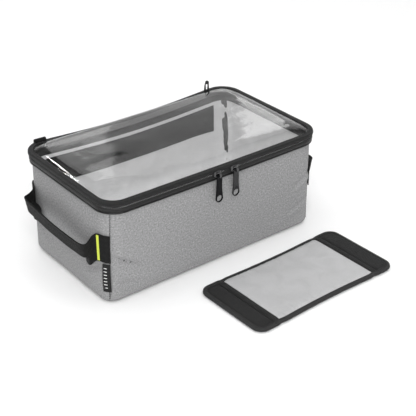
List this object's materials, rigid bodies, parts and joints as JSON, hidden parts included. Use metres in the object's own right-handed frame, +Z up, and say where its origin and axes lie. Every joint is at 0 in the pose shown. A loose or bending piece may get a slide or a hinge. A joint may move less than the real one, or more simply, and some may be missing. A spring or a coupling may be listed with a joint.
{
  "type": "soft luggage inner bag",
  "caption": "Rectangular padded fabric bag with a zipped clear lid, two end webbing handles and a loose hook-ended divider.",
  "frame": {"origin": "centre of the bag's flat base", "axes": "+X along the bag's length, -Y towards the side with the two zip sliders, +Z up"},
  "size_m": [0.426, 0.3971, 0.176],
  "materials": {
    "grey_fabric": "grey melange woven polyester",
    "foam": "closed-cell foam board, matt",
    "base_board": "stiffening board, matt",
    "lining": "light grey coated lining, slight sheen",
    "loop_fastener": "black loop fastener",
    "hook_fastener": "black ribbed hook fastener",
    "black_binding": "black ribbed binding tape",
    "zip_tape": "black coated zip tape",
    "zip_coil": "black nylon coil",
    "black_webbing": "black woven webbing",
    "lime_accent": "lime yellow woven tape",
    "tag_fabric": "black woven tag",
    "clear_window": "clear flexible PVC film",
    "slider_metal": "gloss black painted die-cast metal",
    "divider_face": "light grey coated fabric"
  },
  "bodies": {
    "bag": {"outer_front": "grey_fabric", "outer_back": "grey_fabric", "outer_left": "grey_fabric", "outer_right": "grey_fabric", "outer_base": "grey_fabric", "foam_front": "foam", "foam_back": "foam", "foam_left": "foam", "foam_right": "foam", "base_board": "base_board", "lining_front": "lining", "lining_back": "lining", "lining_left": "lining", "lining_right": "lining", "lining_base": "lining", "loop_strip_front": "loop_fastener", "loop_strip_back": "loop_fastener", "corner_bindings": "black_binding", "base_seam_binding": "black_binding", "facing_band": "black_binding", "rim_piping": "black_binding", "rim_ledge": "black_binding", "zip_tape_lower": "zip_tape", "zip_coil_lower": "zip_coil", "zip_stops": "slider_metal", "handle_anchors_left": "black_webbing", "handle_anchors_right": "black_webbing", "accent_stripe": "lime_accent", "seam_tag": "tag_fabric"},
    "lid": {"zip_tape_upper": "zip_tape", "zip_coil_upper": "zip_coil", "hinge_band": "black_binding", "lid_binding": "black_binding", "lid_window": "clear_window", "loop_left": "black_webbing", "loop_right": "black_webbing"},
    "slider_left": {"slider_left": "slider_metal"},
    "slider_right": {"slider_right": "slider_metal"},
    "pull_left": {"pull_left": "slider_metal"},
    "pull_right": {"pull_right": "slider_metal"},
    "handle_left": {"handle_left": "black_webbing"},
    "handle_right": {"handle_right": "black_webbing"},
    "divider": {"divider_side_bindings": "black_binding", "divider_backing": "black_binding", "divider_core": "foam", "divider_face": "divider_face", "divider_hook_strips": "hook_fastener"},
    "flap_left": {"flap_left_binding": "black_binding", "flap_left_web": "black_webbing", "flap_left_hook": "hook_fastener"},
    "flap_right": {"flap_right_binding": "black_binding", "flap_right_web": "black_webbing", "flap_right_hook": "hook_fastener"}
  },
  "joints": [
    {"name": "lid_hinge", "type": "hinge", "parent": "bag", "child": "lid", "pos_m": [0, 0.1124, 0.1454], "axis": [-1, 0, 0], "range_deg": [0, 180]},
    {"name": "slider_left_travel", "type": "slide", "parent": "bag", "child": "slider_left", "axis": [-1, 0, 0], "range_m": [0, 0.142]},
    {"name": "slider_right_travel", "type": "slide", "parent": "bag", "child": "slider_right", "axis": [1, 0, 0], "range_m": [0, 0.128]},
    {"name": "pull_left_swing", "type": "hinge", "parent": "slider_left", "child": "pull_left", "pos_m": [-0.008, -0.119, 0.1522], "axis": [-1, 0, 0], "range_deg": [0, 170]},
    {"name": "pull_right_swing", "type": "hinge", "parent": "slider_right", "child": "pull_right", "pos_m": [0.022, -0.119, 0.1522], "axis": [-1, 0, 0], "range_deg": [0, 170]},
    {"name": "handle_left_swing", "type": "hinge", "parent": "bag", "child": "handle_left", "pos_m": [-0.194, 0, 0.086], "axis": [0, 1, 0], "range_deg": [-40, 60]},
    {"name": "handle_right_swing", "type": "hinge", "parent": "bag", "child": "handle_right", "pos_m": [0.194, 0, 0.086], "axis": [0, -1, 0], "range_deg": [-40, 60]},
    {"name": "divider_lift", "type": "slide", "parent": "bag", "child": "divider", "axis": [0, 0, 1], "range_m": [0, 0.25]},
    {"name": "flap_left_fold", "type": "hinge", "parent": "divider", "child": "flap_left", "pos_m": [-0.03848, -0.21553, 0.0063], "axis": [-0.0192, 0.9998, 0], "range_deg": [0, 90]},
    {"name": "flap_right_fold", "type": "hinge", "parent": "divider", "child": "flap_right", "pos_m": [0.16248, -0.21167, 0.0063], "axis": [0.0192, -0.9998, 0], "range_deg": [0, 90]}
  ]
}
